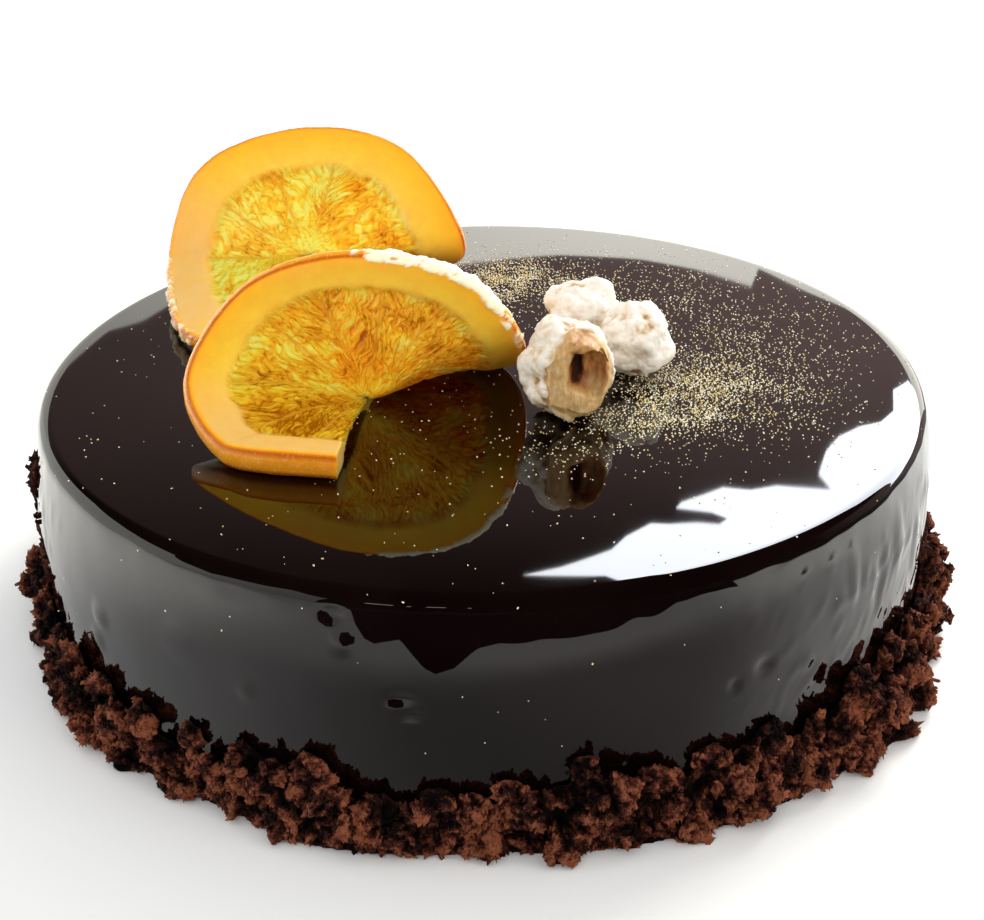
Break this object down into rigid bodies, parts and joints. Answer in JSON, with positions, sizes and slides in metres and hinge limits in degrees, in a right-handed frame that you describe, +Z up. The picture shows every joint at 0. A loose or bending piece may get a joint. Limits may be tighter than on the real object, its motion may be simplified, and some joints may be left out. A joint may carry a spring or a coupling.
{
  "type": "sachertorte cake",
  "caption": "Round chocolate cake under a dark mirror glaze, with a border of sponge crumbs and candied orange slices and sugared hazelnuts on top.",
  "frame": {"origin": "centre of the cake's round flat base, on the surface that the cake stands on", "axes": "+Z up; -Y is the front, the side that the toppings face; +X is to the right seen from the front"},
  "size_m": [0.199, 0.1963, 0.0871],
  "materials": {
    "glaze": "poured dark chocolate mirror glaze",
    "crumb": "dry chocolate sponge crumbs",
    "candied_orange": "translucent candied orange",
    "sugared_nut": "grainy white sugar crust"
  },
  "bodies": {
    "root": {"glazed_cake": "glaze", "crumb_border": "crumb", "orange_slice_front": "candied_orange", "orange_slice_rear": "candied_orange", "hazelnut_split": "sugared_nut", "hazelnut_rear": "sugared_nut", "hazelnut_side": "sugared_nut"}
  },
  "joints": []
}
